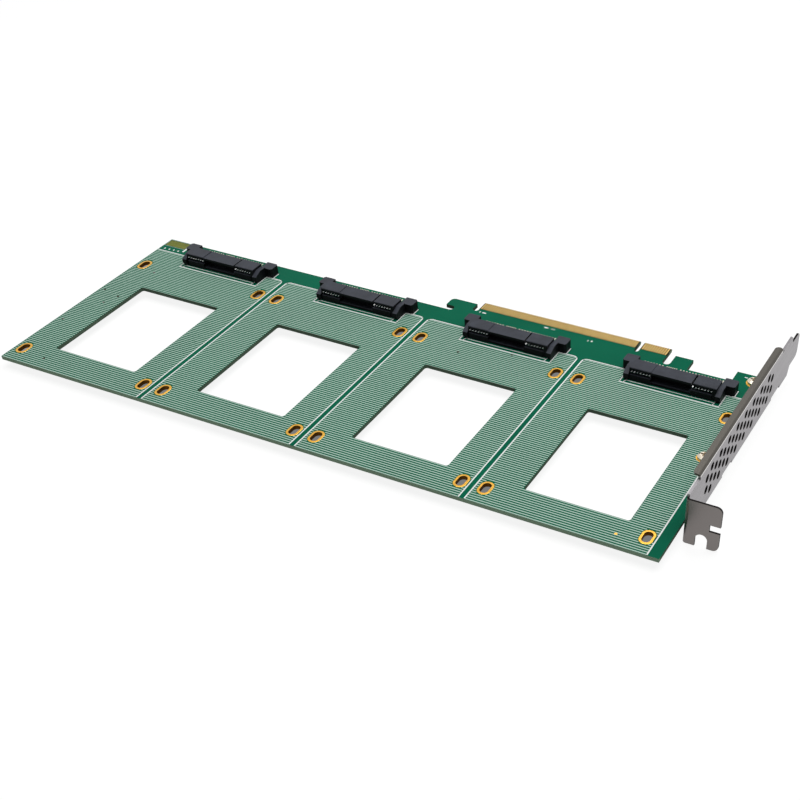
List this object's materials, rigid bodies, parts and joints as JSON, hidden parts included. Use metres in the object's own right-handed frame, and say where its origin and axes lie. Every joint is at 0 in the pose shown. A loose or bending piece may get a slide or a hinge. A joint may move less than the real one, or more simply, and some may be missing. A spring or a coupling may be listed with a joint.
{
  "type": "drive carrier card",
  "caption": "Long add-in card with a sixteen-lane edge connector that carries 2.5 inch drives in open bays, with a vented full-height bracket.",
  "frame": {"origin": "centre of the edge connector's key notch, on the line of the connector's tips, at the board's component face", "axes": "+X across the board from the connector's tips to the far edge, +Y along the board towards the bracket, +Z out of the component face"},
  "size_m": [0.1372, 0.3025, 0.0209],
  "materials": {
    "board": "green solder mask, satin",
    "gold_plate": "gold plated",
    "black_moulding": "moulded",
    "contact_plate": "tin over nickel",
    "bracket_steel": "nickel plated sheet",
    "screw_steel": "zinc plated",
    "chip_package": "moulded",
    "capacitor_case": "moulded",
    "ceramic_chip": "fired"
  },
  "bodies": {
    "root": {"circuit_board": "board", "edge_pads_component_side": "gold_plate", "edge_pads_solder_side": "gold_plate", "receptacle_1_housing": "black_moulding", "receptacle_1_contacts": "contact_plate", "receptacle_1_hold_downs": "contact_plate", "receptacle_2_housing": "black_moulding", "receptacle_2_contacts": "contact_plate", "receptacle_2_hold_downs": "contact_plate", "receptacle_3_housing": "black_moulding", "receptacle_3_contacts": "contact_plate", "receptacle_3_hold_downs": "contact_plate", "receptacle_4_housing": "black_moulding", "receptacle_4_contacts": "contact_plate", "receptacle_4_hold_downs": "contact_plate", "mounting_bracket": "bracket_steel", "bracket_screws": "screw_steel", "clock_buffer": "chip_package", "bulk_capacitors": "capacitor_case", "chip_capacitors": "ceramic_chip"}
  },
  "joints": []
}
